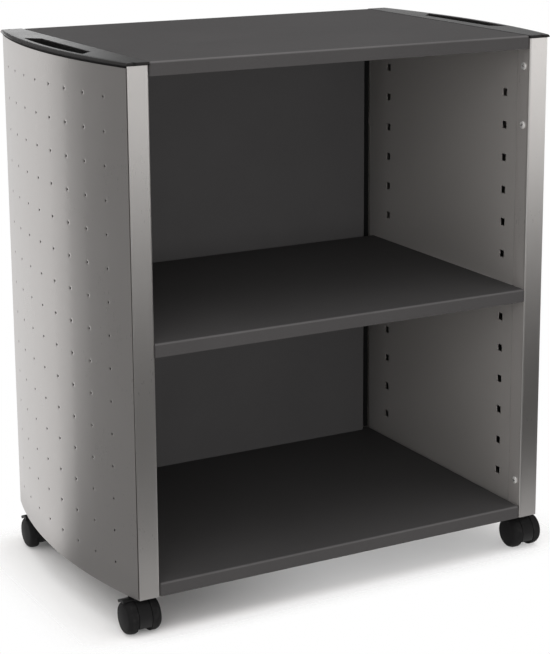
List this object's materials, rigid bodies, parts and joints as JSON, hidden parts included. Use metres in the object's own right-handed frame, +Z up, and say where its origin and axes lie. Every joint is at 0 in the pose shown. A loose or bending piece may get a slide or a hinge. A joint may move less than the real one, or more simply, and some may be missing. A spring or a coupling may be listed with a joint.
{
  "type": "computer trolley",
  "caption": "Open-fronted office trolley of folded sheet with bowed perforated sides, grip slots in the side caps, an adjustable shelf and twin-wheel swivel casters.",
  "frame": {"origin": "on the floor, under the middle of the trolley", "axes": "+Z up, the open front towards -Y, +X to the right as seen from the front"},
  "size_m": [0.755, 0.475, 0.8235],
  "materials": {
    "silver_sheet": "satin metallic silver",
    "anthracite_sheet": "satin dark grey",
    "grey_plastic": "smooth mid grey",
    "black_plastic": "smooth black",
    "zinc_steel": "bright zinc"
  },
  "bodies": {
    "trolley": {"left_front_post": "silver_sheet", "left_rear_post": "silver_sheet", "left_inner_panel": "silver_sheet", "left_outer_panel": "silver_sheet", "left_handle_cap": "grey_plastic", "left_base_plate": "zinc_steel", "right_front_post": "silver_sheet", "right_rear_post": "silver_sheet", "right_inner_panel": "silver_sheet", "right_outer_panel": "silver_sheet", "right_handle_cap": "grey_plastic", "right_base_plate": "zinc_steel", "top_plate": "anthracite_sheet", "middle_shelf": "anthracite_sheet", "bottom_shelf": "anthracite_sheet", "back_panel": "anthracite_sheet", "shelf_support_front_left": "black_plastic", "caster_socket_front_left": "grey_plastic", "caster_stem_front_left": "zinc_steel", "screw_front_left_1": "zinc_steel", "screw_front_left_2": "zinc_steel", "screw_front_left_3": "zinc_steel", "shelf_support_front_right": "black_plastic", "caster_socket_front_right": "grey_plastic", "caster_stem_front_right": "zinc_steel", "screw_front_right_1": "zinc_steel", "screw_front_right_2": "zinc_steel", "screw_front_right_3": "zinc_steel", "shelf_support_rear_left": "black_plastic", "caster_socket_rear_left": "grey_plastic", "caster_stem_rear_left": "zinc_steel", "screw_rear_left_1": "zinc_steel", "screw_rear_left_2": "zinc_steel", "screw_rear_left_3": "zinc_steel", "shelf_support_rear_right": "black_plastic", "caster_socket_rear_right": "grey_plastic", "caster_stem_rear_right": "zinc_steel", "screw_rear_right_1": "zinc_steel", "screw_rear_right_2": "zinc_steel", "screw_rear_right_3": "zinc_steel"},
    "caster_front_left": {"caster_hood_front_left": "black_plastic", "caster_axle_front_left": "zinc_steel"},
    "wheel_front_left_outer": {"caster_wheel_front_left_outer": "black_plastic"},
    "wheel_front_left_inner": {"caster_wheel_front_left_inner": "black_plastic"},
    "caster_front_right": {"caster_hood_front_right": "black_plastic", "caster_axle_front_right": "zinc_steel"},
    "wheel_front_right_outer": {"caster_wheel_front_right_outer": "black_plastic"},
    "wheel_front_right_inner": {"caster_wheel_front_right_inner": "black_plastic"},
    "caster_rear_left": {"caster_hood_rear_left": "black_plastic", "caster_axle_rear_left": "zinc_steel"},
    "wheel_rear_left_outer": {"caster_wheel_rear_left_outer": "black_plastic"},
    "wheel_rear_left_inner": {"caster_wheel_rear_left_inner": "black_plastic"},
    "caster_rear_right": {"caster_hood_rear_right": "black_plastic", "caster_axle_rear_right": "zinc_steel"},
    "wheel_rear_right_outer": {"caster_wheel_rear_right_outer": "black_plastic"},
    "wheel_rear_right_inner": {"caster_wheel_rear_right_inner": "black_plastic"}
  },
  "joints": [
    {"name": "swivel_front_left", "type": "hinge", "parent": "trolley", "child": "caster_front_left", "pos_m": [-0.33361, -0.192, 0.05568], "axis": [0, 0, 1], "continuous": true},
    {"name": "wheel_spin_front_left_outer", "type": "hinge", "parent": "caster_front_left", "child": "wheel_front_left_outer", "pos_m": [-0.33361, -0.208, 0.02488], "axis": [1, 0, 0], "continuous": true},
    {"name": "wheel_spin_front_left_inner", "type": "hinge", "parent": "caster_front_left", "child": "wheel_front_left_inner", "pos_m": [-0.33361, -0.208, 0.02488], "axis": [1, 0, 0], "continuous": true},
    {"name": "swivel_front_right", "type": "hinge", "parent": "trolley", "child": "caster_front_right", "pos_m": [0.33361, -0.192, 0.05568], "axis": [0, 0, 1], "continuous": true},
    {"name": "wheel_spin_front_right_outer", "type": "hinge", "parent": "caster_front_right", "child": "wheel_front_right_outer", "pos_m": [0.33361, -0.208, 0.02488], "axis": [1, 0, 0], "continuous": true},
    {"name": "wheel_spin_front_right_inner", "type": "hinge", "parent": "caster_front_right", "child": "wheel_front_right_inner", "pos_m": [0.33361, -0.208, 0.02488], "axis": [1, 0, 0], "continuous": true},
    {"name": "swivel_rear_left", "type": "hinge", "parent": "trolley", "child": "caster_rear_left", "pos_m": [-0.33361, 0.192, 0.05568], "axis": [0, 0, 1], "continuous": true},
    {"name": "wheel_spin_rear_left_outer", "type": "hinge", "parent": "caster_rear_left", "child": "wheel_rear_left_outer", "pos_m": [-0.33361, 0.176, 0.02488], "axis": [1, 0, 0], "continuous": true},
    {"name": "wheel_spin_rear_left_inner", "type": "hinge", "parent": "caster_rear_left", "child": "wheel_rear_left_inner", "pos_m": [-0.33361, 0.176, 0.02488], "axis": [1, 0, 0], "continuous": true},
    {"name": "swivel_rear_right", "type": "hinge", "parent": "trolley", "child": "caster_rear_right", "pos_m": [0.33361, 0.192, 0.05568], "axis": [0, 0, 1], "continuous": true},
    {"name": "wheel_spin_rear_right_outer", "type": "hinge", "parent": "caster_rear_right", "child": "wheel_rear_right_outer", "pos_m": [0.33361, 0.176, 0.02488], "axis": [1, 0, 0], "continuous": true},
    {"name": "wheel_spin_rear_right_inner", "type": "hinge", "parent": "caster_rear_right", "child": "wheel_rear_right_inner", "pos_m": [0.33361, 0.176, 0.02488], "axis": [1, 0, 0], "continuous": true}
  ]
}
